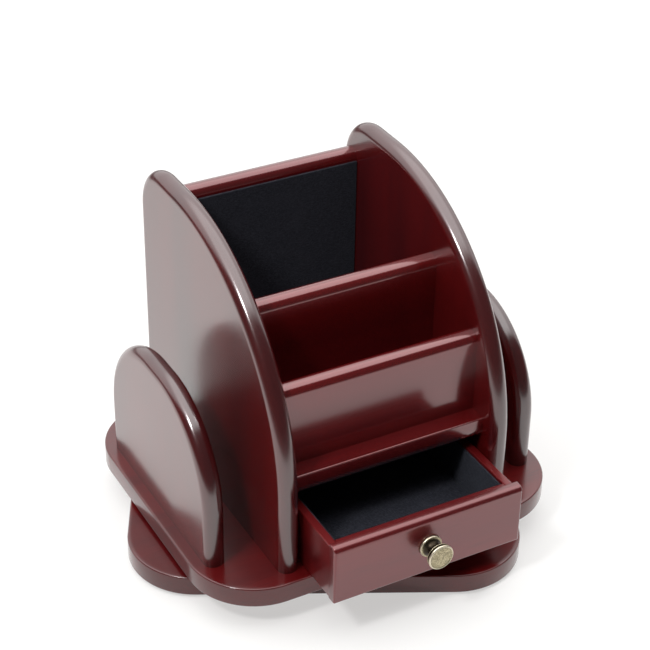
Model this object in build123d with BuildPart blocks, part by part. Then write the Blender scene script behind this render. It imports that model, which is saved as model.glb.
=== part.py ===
from build123d import *
import os
from math import cos, radians, sin, sqrt

# Revolving desk caddy in lacquered wood: a pen bay, an upright card slot, a letter slot at each side
# and a small drawer, on a deck board that turns on a base board.
# Origin on the swivel axis at the surface it stands on, drawer towards -Y, +X to the right, +Z up.
# It is drawn as it stands in use: the drawer part open and the base board turned under the deck.

# Upright boards
board = 9.5
edge_strip = 0.1  # flat strip left in the middle of a fully rounded edge
inner_width = 96.0  # between the two side panels
letter_slot = 17.0  # between a side panel and its wing

# Side panels, seen from the side
panel_foot = 34.9  # upright front edge above the deck
panel_front_radius = 103.5
panel_top_flat = 15.4
panel_rear_radius = 22.6

# Wings
wing_height = 74.2
wing_front_radius = 48.0
wing_rear_radius = 47.0
wing_top_flat = 9.7
wing_setback = 18.4  # behind the front of the side panels

# Base board and deck board, cut to one outline
base_thickness = 9.8
deck_thickness = 9.8
plinth_corner = 32.0
plinth_side_margin = 5.5  # outside the wings
plinth_front_margin = 5.8  # in front of the side panels
plinth_rear_margin = 4.7
plinth_arris = 0.8
base_turn = -26.7  # degrees, base board against deck board
underside_felt_thickness = 1.5
underside_felt_inset = 3.0

# Boards between the side panels
bay_height = 32.7
shelf_thickness = 11.2
shelf_setback = 8.45  # behind the front of the side panels
shelf_nose = 5.8
shelf_arris = 0.6
card_ledge = 9.0  # shelf in front of the card board
card_height = 39.2
card_slot_depth = 26.5
divider_height = 59.4
back_height = 123.3
back_inset = 4.55  # in front of the rear of the side panels
lining = 1.0
lining_gap = 0.2
lining_drop = 0.6  # below the rounded top edge of the back board

# Drawer
drawer_opening = 35.65  # from closed to the pose that is drawn
drawer_front_thickness = 5.2
drawer_front_gap = 1.2  # to each side panel
drawer_front_lift = 0.6  # above the deck
drawer_front_drop = 2.6  # below the shelf
drawer_front_nose = 3.0
drawer_front_arris = 1.2
drawer_side = 4.0
drawer_side_drop = 2.3  # below the top of the front
drawer_side_inset = 0.8  # behind the ends of the front
drawer_side_arris = 0.6
drawer_lift = 0.3  # running clearance over the deck
drawer_floor = 3.0
drawer_floor_rise = 1.5  # above the lower edge of the sides
drawer_groove = 2.0
drawer_rear_gap = 4.0  # to the back board when closed
drawer_lining_drop = 1.2  # below the top of the sides

# Knob
knob_length = 9.6
knob_flange_radius = 5.4
knob_flange = 1.5
knob_neck_radius = 2.9
knob_head_radius = 6.1
knob_head = 2.5
knob_dish = 0.35
knob_rim = 1.2
knob_arris = 0.3
knob_round = 0.7
knob_foot_flare = 0.6
knob_head_flare = 0.9
knob_bore_depth = 6.0
knob_screw_radius = 1.9
knob_screw_head_radius = 3.6
knob_screw_head = 2.2

# Swivel bearing: two pressed plates, a ring of balls in a cage, and a hollow rivet
swivel_gap = 1.6  # between base board and deck board
sheet = 1.0
bearing_plate_corner = 6.0
bearing_dish = 2.2  # step from the flange to the middle
bearing_slope = 1.4
bearing_pocket_gap = 0.75
race_radius = 28.0
race_margin = 6.0  # from the race to the edge of the dished middle
flange_margin = 4.0  # from there to the sides of the plate
bearing_screw_inset = 7.85  # from the sides of the plate
ball_radius = 2.0
ball_count = 20
ball_gap = 0.1
cage = 0.8
cage_half_width = 3.2
rivet_radius = 4.0
rivet_bore = 2.8
rivet_head_radius = 6.5
rivet_gap = 0.08
access_hole_radius = 4.5

# Fasteners
fit_gap = 0.1
dowel_radius = 3.0
dowel_length = 16.0
dowel_in_panel = 5.5
dowel_end_gap = 0.3
dowel_inset = 18.0  # from the front and the rear of the shelf
low_dowel = 11.0  # above the foot of an upright board
high_dowel = 13.0  # below its top
wood_screw_radius = 1.75
wood_screw_head_radius = 3.5
wood_screw_length = 22.0
bearing_screw_radius = 1.5
bearing_screw_head_radius = 2.8
bearing_screw_head = 1.2
bearing_screw_length = 4.8  # in the wood
screw_point = 1.5
panel_screw_inset = 21.0  # from the front and the rear of a side panel
wing_screw_inset = 20.0
round_head_share = 0.6  # flat top of a round screw head, as a share of its radius

# Places worked out from the sizes above, from the floor up
base_bottom = underside_felt_thickness
base_top = base_bottom + base_thickness
deck_bottom = base_top + swivel_gap
deck_top = deck_bottom + deck_thickness
swivel_middle = base_top + swivel_gap / 2
shelf_bottom = deck_top + bay_height
shelf_top = shelf_bottom + shelf_thickness

# From the swivel axis outwards
panel_inner = inner_width / 2
panel_middle = panel_inner + board / 2
panel_outer = panel_inner + board
wing_middle = panel_outer + letter_slot + board / 2
plinth_length = 2 * (wing_middle + board / 2 + plinth_side_margin)

# From front to rear
panel_depth = panel_front_radius + panel_top_flat + panel_rear_radius
plinth_depth = plinth_front_margin + panel_depth + plinth_rear_margin
panel_front = -plinth_depth / 2 + plinth_front_margin
panel_rear = panel_front + panel_depth
panel_height = panel_foot + panel_front_radius
wing_front = panel_front + wing_setback
wing_depth = wing_front_radius + wing_top_flat + wing_rear_radius
shelf_front = panel_front + shelf_setback
card_front = shelf_front + card_ledge
divider_front = card_front + board + card_slot_depth
back_front = panel_rear - back_inset - board
edge_radius = (board - edge_strip) / 2

# Drawer, in the pose that is drawn
front_half = panel_inner - drawer_front_gap
box_half = front_half - drawer_side_inset
face = shelf_front - drawer_opening
front_rear = face + drawer_front_thickness
inner_front = front_rear + drawer_side
box_rear = back_front - drawer_rear_gap - drawer_opening
front_bottom = deck_top + drawer_front_lift
front_top = shelf_bottom - drawer_front_drop
box_bottom = deck_top + drawer_lift
box_top = front_top - drawer_side_drop
floor_bottom = box_bottom + drawer_floor_rise
floor_top = floor_bottom + drawer_floor
inner_half = box_half - drawer_side
inner_rear = box_rear - drawer_side
knob_centre = (front_bottom + front_top) / 2

# Swivel bearing, measured from its middle plane
web_inner = swivel_gap / 2
web_outer = web_inner + sheet
flange_inner = web_inner + bearing_dish
flange_outer = flange_inner + sheet
groove_inner = ball_radius + ball_gap
groove_outer = groove_inner + sheet
pocket_depth = flange_outer - web_inner
bearing_dish_radius = race_radius + race_margin
bearing_plate = 2 * (bearing_dish_radius + flange_margin)
bearing_screw_spacing = bearing_plate - 2 * bearing_screw_inset
groove_in = sqrt(groove_inner**2 - web_inner**2)
groove_out = sqrt(groove_outer**2 - web_outer**2)
corner_reach = (bearing_plate / 2 - bearing_plate_corner) * sqrt(2) + bearing_plate_corner
pocket_radius = corner_reach + bearing_pocket_gap

base_plane = Plane.XY.rotated((0, 0, base_turn))
os.makedirs("parts", exist_ok=True)


def save(piece, name):
    """Label a finished piece and write it under its own name."""
    piece.part.label = name
    export_step(piece.part, f"parts/{name}.step")


def arched_outline(front, foot, height, front_radius, top_flat, rear_radius):
    """Side view of a panel or wing: upright edges, a large front arc, a flat top and a rear arc."""
    top = foot + height
    rear = front + front_radius + top_flat + rear_radius
    with BuildLine() as outline:
        Line((front, foot), (front, top - front_radius))
        JernArc((front, top - front_radius), (0, 1), front_radius, -90)
        Line((front + front_radius, top), (rear - rear_radius, top))
        JernArc((rear - rear_radius, top), (1, 0), rear_radius, -90)
        Line((rear, top - rear_radius), (rear, foot))
        Line((rear, foot), (front, foot))
    return outline.edges()


def across(places, x_places):
    """Locations with their own Z along X, at every side place (y, z) and every x."""
    return [Location((x, y, z), (0, 90, 0)) for x in x_places for y, z in places]


def drill_for_dowels(places, depth, x_places):
    """Blind dowel holes along X, to one depth either side of the joint."""
    with Locations(*across(places, x_places)):
        Cylinder(dowel_radius + fit_gap, 2 * (depth + dowel_end_gap), mode=Mode.SUBTRACT)


# Dowel places, as (y, z), in the ends of each board between the side panels
shelf_middle = (shelf_bottom + shelf_top) / 2
shelf_dowel_places = [
    (y, shelf_middle)
    for y in (shelf_front + dowel_inset, (shelf_front + back_front) / 2, back_front - dowel_inset)
]


def upright_dowel_places(front, foot, height, count):
    """Dowel places up the end of an upright board."""
    low = foot + low_dowel
    high = foot + height - high_dowel
    step = (high - low) / (count - 1)
    return [(front + board / 2, low + step * index) for index in range(count)]


card_dowel_places = upright_dowel_places(card_front, shelf_top, card_height, 2)
divider_dowel_places = upright_dowel_places(divider_front, shelf_top, divider_height, 2)
back_dowel_places = upright_dowel_places(back_front, deck_top, back_height, 3)
all_dowel_places = shelf_dowel_places + card_dowel_places + divider_dowel_places + back_dowel_places

# Screw places under the deck, with their heads down
head_down = (180, 0, 0)
panel_screw_places = [
    Location((x, y, deck_bottom), head_down)
    for x in (-panel_middle, panel_middle)
    for y in (panel_front + panel_screw_inset, panel_rear - panel_screw_inset)
]
wing_screw_places = [
    Location((x, y, deck_bottom), head_down)
    for x in (-wing_middle, wing_middle)
    for y in (wing_front + wing_screw_inset, wing_front + wing_depth - wing_screw_inset)
]

# Felt under the base board
with BuildPart() as underside_felt:
    with BuildSketch(base_plane):
        RectangleRounded(
            plinth_length - 2 * underside_felt_inset,
            plinth_depth - 2 * underside_felt_inset,
            plinth_corner - underside_felt_inset,
        )
    extrude(amount=underside_felt_thickness)
save(underside_felt, "underside_felt")

# Base board, with the pocket, the pilot holes and the access hole of the bearing
with BuildPart() as base_board:
    with BuildSketch(base_plane.offset(base_bottom)):
        RectangleRounded(plinth_length, plinth_depth, plinth_corner)
    extrude(amount=base_thickness)
    outline_edges = base_board.faces().filter_by(Axis.Z).edges()
    fillet(outline_edges, plinth_arris)
    with BuildSketch(base_plane.offset(base_top)):
        Circle(pocket_radius)
    extrude(amount=-pocket_depth, mode=Mode.SUBTRACT)
    with BuildSketch(base_plane.offset(base_top - pocket_depth)):
        with GridLocations(bearing_screw_spacing, bearing_screw_spacing, 2, 2):
            Circle(bearing_screw_radius + fit_gap)
    extrude(amount=-bearing_screw_length - fit_gap, mode=Mode.SUBTRACT)
    with BuildSketch(base_plane.offset(base_bottom)):
        with Locations((0, -bearing_screw_spacing / sqrt(2))):
            Circle(access_hole_radius)
    extrude(amount=base_thickness, mode=Mode.SUBTRACT)
save(base_board, "base_board")

# Round-head screw of the bearing plates, drawn with the head on the XY plane and the point down
with BuildPart() as bearing_screw:
    with BuildSketch(Plane.XZ):
        with BuildLine():
            Polyline(
                (0, bearing_screw_head),
                (bearing_screw_head_radius * round_head_share, bearing_screw_head),
                (bearing_screw_head_radius, bearing_screw_head / 3),
                (bearing_screw_head_radius, 0),
                (bearing_screw_radius, 0),
                (bearing_screw_radius, -sheet - bearing_screw_length + screw_point),
                (0, -sheet - bearing_screw_length),
                close=True,
            )
        make_face()
    revolve(axis=Axis.Z)

# Pressed bearing plates and their screws, the lower ones turned with the base board
bearing_halves = (
    ("lower", -1, base_turn, rivet_radius + fit_gap),
    ("upper", 1, 0.0, rivet_radius + rivet_gap),
)
bearing_screw_reach = bearing_screw_spacing / sqrt(2)
for name, way, turn, hole_radius in bearing_halves:
    profile_plane = Plane((0, 0, swivel_middle), x_dir=(1, 0, 0), z_dir=(0, -way, 0))
    flange_plane = Plane.XY.offset(swivel_middle + way * flange_inner).rotated((0, 0, turn))
    with BuildPart() as bearing_half:
        with BuildSketch(flange_plane):
            RectangleRounded(bearing_plate, bearing_plate, bearing_plate_corner)
            Circle(bearing_dish_radius, mode=Mode.SUBTRACT)
            with GridLocations(bearing_screw_spacing, bearing_screw_spacing, 2, 2):
                Circle(bearing_screw_radius + fit_gap, mode=Mode.SUBTRACT)
        extrude(amount=way * sheet)
        with BuildSketch(profile_plane):
            with BuildLine():
                Line((hole_radius, web_outer), (hole_radius, web_inner))
                Line((hole_radius, web_inner), (race_radius - groove_in, web_inner))
                ThreePointArc(
                    (race_radius - groove_in, web_inner),
                    (race_radius, groove_inner),
                    (race_radius + groove_in, web_inner),
                )
                Polyline(
                    (race_radius + groove_in, web_inner),
                    (bearing_dish_radius - bearing_slope, web_inner),
                    (bearing_dish_radius, flange_inner),
                    (bearing_dish_radius, flange_outer),
                    (bearing_dish_radius - bearing_slope, web_outer),
                    (race_radius + groove_out, web_outer),
                )
                ThreePointArc(
                    (race_radius + groove_out, web_outer),
                    (race_radius, groove_outer),
                    (race_radius - groove_out, web_outer),
                )
                Line((race_radius - groove_out, web_outer), (hole_radius, web_outer))
            make_face()
        revolve(axis=Axis.Z)
    save(bearing_half, f"{name}_bearing_plate")

    corner_angles = [radians(turn + 45 + 90 * index) for index in range(4)]
    head_seat = swivel_middle + way * flange_inner
    bearing_screw_places = [
        Location(
            (bearing_screw_reach * cos(angle), bearing_screw_reach * sin(angle), head_seat),
            (0, 0, 0) if way < 0 else (180, 0, 0),
        )
        for angle in corner_angles
    ]
    with BuildPart() as bearing_screws:
        with Locations(*bearing_screw_places):
            add(bearing_screw.part)
    save(bearing_screws, f"{name}_bearing_screws")

# Hollow rivet, closed on the lower plate and free to turn in the upper one
with BuildPart() as pivot_rivet:
    with BuildSketch(Plane.XZ):
        with BuildLine():
            Polyline(
                (rivet_bore, swivel_middle - web_outer - sheet),
                (rivet_head_radius, swivel_middle - web_outer - sheet),
                (rivet_head_radius, swivel_middle - web_outer),
                (rivet_radius, swivel_middle - web_outer),
                (rivet_radius, swivel_middle + web_outer + fit_gap),
                (rivet_head_radius, swivel_middle + web_outer + fit_gap),
                (rivet_head_radius, swivel_middle + web_outer + fit_gap + sheet),
                (rivet_bore, swivel_middle + web_outer + fit_gap + sheet),
                close=True,
            )
        make_face()
    revolve(axis=Axis.Z)
save(pivot_rivet, "pivot_rivet")

# Balls and their cage
with BuildPart() as bearing_balls:
    with Locations((0, 0, swivel_middle)):
        with PolarLocations(race_radius, ball_count):
            Sphere(ball_radius)
save(bearing_balls, "bearing_balls")

with BuildPart() as ball_cage:
    with BuildSketch(Plane.XY.offset(swivel_middle - cage / 2)):
        Circle(race_radius + cage_half_width)
        Circle(race_radius - cage_half_width, mode=Mode.SUBTRACT)
        with PolarLocations(race_radius, ball_count):
            Circle(ball_radius + fit_gap, mode=Mode.SUBTRACT)
    extrude(amount=cage)
save(ball_cage, "ball_cage")

# Deck board, with the pocket of the bearing and the countersunk holes of the panel screws
with BuildPart() as deck_board:
    with BuildSketch(Plane.XY.offset(deck_bottom)):
        RectangleRounded(plinth_length, plinth_depth, plinth_corner)
    extrude(amount=deck_thickness)
    outline_edges = deck_board.faces().filter_by(Axis.Z).edges()
    fillet(outline_edges, plinth_arris)
    with BuildSketch(Plane.XY.offset(deck_bottom)):
        Circle(pocket_radius)
    extrude(amount=pocket_depth, mode=Mode.SUBTRACT)
    with BuildSketch(Plane.XY.offset(deck_bottom + pocket_depth)):
        with GridLocations(bearing_screw_spacing, bearing_screw_spacing, 2, 2):
            Circle(bearing_screw_radius + fit_gap)
    extrude(amount=bearing_screw_length + fit_gap, mode=Mode.SUBTRACT)
    with Locations(*panel_screw_places, *wing_screw_places):
        CounterSinkHole(
            wood_screw_radius + fit_gap,
            wood_screw_head_radius + fit_gap,
            deck_thickness,
            counter_sink_angle=90,
        )
save(deck_board, "deck_board")

# Countersunk wood screws up through the deck, drawn with the head on the XY plane and the point down
with BuildPart() as wood_screw:
    with BuildSketch(Plane.XZ):
        with BuildLine():
            Polyline(
                (0, 0),
                (wood_screw_head_radius, 0),
                (wood_screw_radius, wood_screw_radius - wood_screw_head_radius),
                (wood_screw_radius, 2 * screw_point - wood_screw_length),
                (0, -wood_screw_length),
                close=True,
            )
        make_face()
    revolve(axis=Axis.Z)

with BuildPart() as side_panel_screws:
    with Locations(*panel_screw_places):
        add(wood_screw.part)
save(side_panel_screws, "side_panel_screws")

with BuildPart() as wing_screws:
    with Locations(*wing_screw_places):
        add(wood_screw.part)
save(wing_screws, "wing_screws")

# Side panels, rounded over all round but for the foot
panel_outline = arched_outline(
    panel_front, deck_top, panel_height, panel_front_radius, panel_top_flat, panel_rear_radius
)
for name, way in (("left_side_panel", -1), ("right_side_panel", 1)):
    with BuildPart() as side_panel:
        with BuildSketch(Plane.YZ.offset(way * panel_middle)):
            make_face(panel_outline)
        extrude(amount=board / 2, both=True)
        outline_edges = side_panel.faces().filter_by(Axis.X).edges()
        fillet(outline_edges.sort_by(Axis.Z)[2:], edge_radius)
        drill_for_dowels(all_dowel_places, dowel_in_panel, [way * panel_inner])
        with Locations(*panel_screw_places):
            Hole(wood_screw_radius + fit_gap, wood_screw_length + fit_gap)
    save(side_panel, name)

# Wings, made the same way
wing_outline = arched_outline(
    wing_front, deck_top, wing_height, wing_front_radius, wing_top_flat, wing_rear_radius
)
for name, way in (("left_wing", -1), ("right_wing", 1)):
    with BuildPart() as wing:
        with BuildSketch(Plane.YZ.offset(way * wing_middle)):
            make_face(wing_outline)
        extrude(amount=board / 2, both=True)
        outline_edges = wing.faces().filter_by(Axis.X).edges()
        fillet(outline_edges.sort_by(Axis.Z)[2:], edge_radius)
        with Locations(*wing_screw_places):
            Hole(wood_screw_radius + fit_gap, wood_screw_length + fit_gap)
    save(wing, name)

# Shelf: roof of the drawer bay and floor of the card slot and the pen bay
dowel_in_board = dowel_length - dowel_in_panel
board_ends = [-panel_inner, panel_inner]
with BuildPart() as shelf_board:
    with BuildSketch(Plane.YZ):
        with BuildLine():
            Polyline(
                (shelf_front, shelf_bottom),
                (shelf_front, shelf_top),
                (back_front, shelf_top),
                (back_front, shelf_bottom),
                close=True,
            )
        make_face()
    extrude(amount=panel_inner, both=True)
    front_edges = shelf_board.faces().sort_by(Axis.Y)[0].edges().filter_by(Axis.X).sort_by(Axis.Z)
    fillet(front_edges[0], shelf_nose)
    front_edges = shelf_board.faces().sort_by(Axis.Y)[0].edges().filter_by(Axis.X).sort_by(Axis.Z)
    fillet(front_edges[-1], shelf_arris)
    drill_for_dowels(shelf_dowel_places, dowel_in_board, board_ends)
save(shelf_board, "shelf_board")

# Upright boards between the side panels, each rounded over along its top
upright_boards = (
    ("card_board", card_front, shelf_top, card_height, card_dowel_places),
    ("pen_divider", divider_front, shelf_top, divider_height, divider_dowel_places),
    ("back_board", back_front, deck_top, back_height, back_dowel_places),
)
for name, front, foot, height, dowel_places in upright_boards:
    with BuildPart() as upright_board:
        with BuildSketch(Plane.XY.offset(foot)):
            with Locations((0, front + board / 2)):
                Rectangle(inner_width, board)
        extrude(amount=height)
        top_edges = upright_board.faces().sort_by(Axis.Z)[-1].edges().filter_by(Axis.X)
        fillet(top_edges, edge_radius)
        drill_for_dowels(dowel_places, dowel_in_board, board_ends)
    save(upright_board, name)

# Dowels, one node for each board
dowel_middle = panel_inner + dowel_in_panel - dowel_length / 2
dowel_sets = (
    ("shelf_dowels", shelf_dowel_places),
    ("card_board_dowels", card_dowel_places),
    ("pen_divider_dowels", divider_dowel_places),
    ("back_board_dowels", back_dowel_places),
)
for name, dowel_places in dowel_sets:
    with BuildPart() as dowels:
        with Locations(*across(dowel_places, [-dowel_middle, dowel_middle])):
            Cylinder(dowel_radius, dowel_length)
    save(dowels, name)

# Felt in the pen bay, on its floor and on the back board
lining_width = inner_width - 2 * lining_gap
pen_bay_front = divider_front + board
with BuildPart() as pen_bay_back_lining:
    with BuildSketch(Plane.XY.offset(shelf_top)):
        with Locations((0, back_front - lining / 2)):
            Rectangle(lining_width, lining)
    extrude(amount=deck_top + back_height - edge_radius - lining_drop - shelf_top)
save(pen_bay_back_lining, "pen_bay_back_lining")

with BuildPart() as pen_bay_floor_lining:
    floor_lining_depth = back_front - lining - pen_bay_front - 2 * lining_gap
    with BuildSketch(Plane.XY.offset(shelf_top)):
        with Locations((0, pen_bay_front + lining_gap + floor_lining_depth / 2)):
            Rectangle(lining_width, floor_lining_depth)
    extrude(amount=lining)
save(pen_bay_floor_lining, "pen_bay_floor_lining")

# Drawer front, with a rounded upper front edge, the groove of the floor and the hole of the knob screw
with BuildPart() as drawer_front:
    with BuildSketch(Plane.XZ.offset(-front_rear)):
        with Locations((0, (front_bottom + front_top) / 2)):
            Rectangle(2 * front_half, front_top - front_bottom)
    extrude(amount=drawer_front_thickness)
    face_edges = drawer_front.faces().sort_by(Axis.Y)[0].edges()
    fillet(face_edges.sort_by(Axis.Z)[-1], drawer_front_nose)
    face_edges = drawer_front.faces().sort_by(Axis.Y)[0].edges()
    fillet(face_edges.sort_by(Axis.Z)[:-1], drawer_front_arris)
    with BuildSketch(Plane.XZ.offset(-front_rear)):
        with Locations((0, (floor_bottom + floor_top) / 2)):
            Rectangle(2 * (inner_half + drawer_groove), drawer_floor)
    extrude(amount=drawer_groove, mode=Mode.SUBTRACT)
    with Locations(Location((0, front_rear, knob_centre), (-90, 0, 0))):
        Hole(knob_screw_radius + fit_gap, drawer_front_thickness)
save(drawer_front, "drawer_front")

# Drawer sides, grooved for the floor
for name, way in (("drawer_left_side", -1), ("drawer_right_side", 1)):
    with BuildPart() as drawer_side_board:
        with BuildSketch(Plane.YZ.offset(way * (inner_half + drawer_side / 2))):
            with Locations(((front_rear + box_rear) / 2, (box_bottom + box_top) / 2)):
                Rectangle(box_rear - front_rear, box_top - box_bottom)
        extrude(amount=drawer_side / 2, both=True)
        fillet(drawer_side_board.edges().filter_by(Axis.Y).group_by(Axis.Z)[-1], drawer_side_arris)
        with BuildSketch(Plane.YZ.offset(way * inner_half)):
            with Locations(((front_rear + box_rear) / 2, (floor_bottom + floor_top) / 2)):
                Rectangle(box_rear - front_rear, drawer_floor)
        extrude(amount=way * drawer_groove, mode=Mode.SUBTRACT)
    save(drawer_side_board, name)

# Inner wall behind the drawer front, bored for the head of the knob screw
with BuildPart() as drawer_inner_front:
    with BuildSketch(Plane.XY.offset(floor_top)):
        with Locations((0, inner_front - drawer_side / 2)):
            Rectangle(2 * inner_half, drawer_side)
    extrude(amount=box_top - floor_top)
    fillet(drawer_inner_front.faces().sort_by(Axis.Z)[-1].edges().filter_by(Axis.X), drawer_side_arris)
    with Locations(Location((0, inner_front, knob_centre), (-90, 0, 0))):
        CounterBoreHole(
            knob_screw_radius + fit_gap,
            knob_screw_head_radius + fit_gap,
            knob_screw_head + fit_gap,
            drawer_side,
        )
save(drawer_inner_front, "drawer_inner_front")

# Drawer back, between the sides, standing on the floor board
with BuildPart() as drawer_back:
    with BuildSketch(Plane.XY.offset(floor_top)):
        with Locations((0, box_rear - drawer_side / 2)):
            Rectangle(2 * inner_half, drawer_side)
    extrude(amount=box_top - floor_top)
    fillet(drawer_back.faces().sort_by(Axis.Z)[-1].edges().filter_by(Axis.X), drawer_side_arris)
save(drawer_back, "drawer_back")

# Drawer floor, held in the grooves of the front and the sides
with BuildPart() as drawer_bottom:
    with BuildSketch(Plane.XY.offset(floor_bottom)):
        with Locations((0, (front_rear - drawer_groove + box_rear) / 2)):
            Rectangle(2 * (inner_half + drawer_groove), box_rear - front_rear + drawer_groove)
    extrude(amount=drawer_floor)
save(drawer_bottom, "drawer_bottom")

# Felt in the drawer: on its four walls, and on the floor between them
lining_half = inner_half - lining
lining_front = inner_front + lining
lining_rear = inner_rear - lining
for name, way in (("drawer_left_lining", -1), ("drawer_right_lining", 1)):
    with BuildPart() as drawer_side_lining:
        with BuildSketch(Plane.XY.offset(floor_top)):
            with Locations((way * (lining_half + lining / 2), (inner_front + inner_rear) / 2)):
                Rectangle(lining, inner_rear - inner_front - 2 * lining_gap)
        extrude(amount=box_top - drawer_lining_drop - floor_top)
    save(drawer_side_lining, name)

for name, middle in (
    ("drawer_front_lining", inner_front + lining / 2),
    ("drawer_back_lining", inner_rear - lining / 2),
):
    with BuildPart() as drawer_cross_lining:
        with BuildSketch(Plane.XY.offset(floor_top)):
            with Locations((0, middle)):
                Rectangle(2 * (lining_half - lining_gap), lining)
        extrude(amount=box_top - drawer_lining_drop - floor_top)
    save(drawer_cross_lining, name)

with BuildPart() as drawer_floor_lining:
    with BuildSketch(Plane.XY.offset(floor_top)):
        with Locations((0, (lining_front + lining_rear) / 2)):
            Rectangle(2 * (lining_half - lining_gap), lining_rear - lining_front - 2 * lining_gap)
    extrude(amount=lining)
save(drawer_floor_lining, "drawer_floor_lining")

# Knob, turned about the Y axis: a flange on the drawer front, a waisted neck and a head with a dished face
with BuildPart() as knob:
    neck_end = knob_length - knob_head
    with BuildSketch(Plane.XY.offset(knob_centre)):
        with BuildLine():
            Polyline(
                (0, face),
                (knob_flange_radius - knob_arris, face),
                (knob_flange_radius, face - knob_arris),
                (knob_flange_radius, face - knob_flange + knob_arris),
                (knob_flange_radius - knob_round, face - knob_flange),
                (knob_neck_radius + knob_foot_flare, face - knob_flange),
            )
            ThreePointArc(
                (knob_neck_radius + knob_foot_flare, face - knob_flange),
                (knob_neck_radius, face - (knob_flange + neck_end) / 2),
                (knob_neck_radius + knob_head_flare, face - neck_end),
            )
            Polyline(
                (knob_neck_radius + knob_head_flare, face - neck_end),
                (knob_head_radius - knob_round, face - neck_end),
                (knob_head_radius, face - neck_end - knob_round),
                (knob_head_radius, face - knob_length + knob_round),
                (knob_head_radius - knob_round, face - knob_length),
                (knob_head_radius - knob_rim, face - knob_length),
                (knob_head_radius - knob_rim - knob_arris, face - knob_length + knob_dish),
                (0, face - knob_length + knob_dish / 2),
                (0, face),
            )
        make_face()
    revolve(axis=Axis((0, 0, knob_centre), (0, 1, 0)))
    with Locations(Location((0, face, knob_centre), (-90, 0, 0))):
        Hole(knob_screw_radius + fit_gap, knob_bore_depth)
save(knob, "knob")

# Machine screw of the knob, from inside the drawer
with BuildPart() as knob_screw:
    seat = inner_front - knob_screw_head - fit_gap
    tip = face - knob_bore_depth + 2 * fit_gap
    with BuildSketch(Plane.XY.offset(knob_centre)):
        with BuildLine():
            Polyline(
                (0, seat + knob_screw_head),
                (knob_screw_head_radius * round_head_share, seat + knob_screw_head),
                (knob_screw_head_radius, seat + knob_screw_head / 2),
                (knob_screw_head_radius, seat),
                (knob_screw_radius, seat),
                (knob_screw_radius, tip),
                (0, tip),
                close=True,
            )
        make_face()
    revolve(axis=Axis((0, 0, knob_centre), (0, 1, 0)))
save(knob_screw, "knob_screw")
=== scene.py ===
"""Revolving desk caddy in dark red lacquered wood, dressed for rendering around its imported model.

Metres in Blender and in the studio; the sizes in the other classes are millimetres. +Z is up, the
drawer opens towards -Y.
"""
import logging
from dataclasses import dataclass, field
from enum import Enum
from math import cos, radians, sin

import bmesh
import bpy
import numpy as np
from mathutils import Matrix, Vector


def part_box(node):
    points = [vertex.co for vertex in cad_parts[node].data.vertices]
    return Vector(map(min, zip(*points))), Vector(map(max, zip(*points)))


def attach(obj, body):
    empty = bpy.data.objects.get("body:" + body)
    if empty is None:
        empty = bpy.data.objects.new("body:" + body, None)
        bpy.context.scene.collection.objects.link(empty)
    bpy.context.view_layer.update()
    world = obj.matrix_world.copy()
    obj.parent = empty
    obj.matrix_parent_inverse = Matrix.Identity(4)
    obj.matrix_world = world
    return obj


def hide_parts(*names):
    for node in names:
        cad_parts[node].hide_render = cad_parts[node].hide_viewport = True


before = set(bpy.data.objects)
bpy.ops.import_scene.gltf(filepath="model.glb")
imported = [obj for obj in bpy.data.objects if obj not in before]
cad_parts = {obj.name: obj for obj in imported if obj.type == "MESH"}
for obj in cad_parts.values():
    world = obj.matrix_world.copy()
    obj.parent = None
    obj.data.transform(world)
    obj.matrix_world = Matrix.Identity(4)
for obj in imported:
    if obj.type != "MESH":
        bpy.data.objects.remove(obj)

log = logging.getLogger("desk_caddy")
Colour = tuple[float, float, float]
Place = tuple[float, float, float]
# the values at which a blend starts and is full
Band = tuple[float, float]
MM = 0.001
PHOTO_PIXELS = 650


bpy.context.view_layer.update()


class Axis(Enum):
    """The way in which a board's section is carried; the value is the place of (u, v, w) in (x, y, z)."""

    X = (1, 2, 0)
    Y = (0, 2, 1)
    Z = (0, 1, 2)


class Grain(Enum):
    """The way in which the fibres run; the value scales X, Y and Z, small where the figure is long."""

    ACROSS = (0.07, 1.0, 1.0)
    ALONG = (1.0, 0.07, 1.0)
    UPRIGHT = (1.0, 1.0, 0.07)


# Meshes


def extent(node: str) -> np.ndarray:
    """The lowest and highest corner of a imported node, in millimetres.

    Args:
        node: name of the node.

    Returns:
        Two rows, x, y and z.
    """
    return np.array([list(corner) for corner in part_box(node)]) / MM


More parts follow.
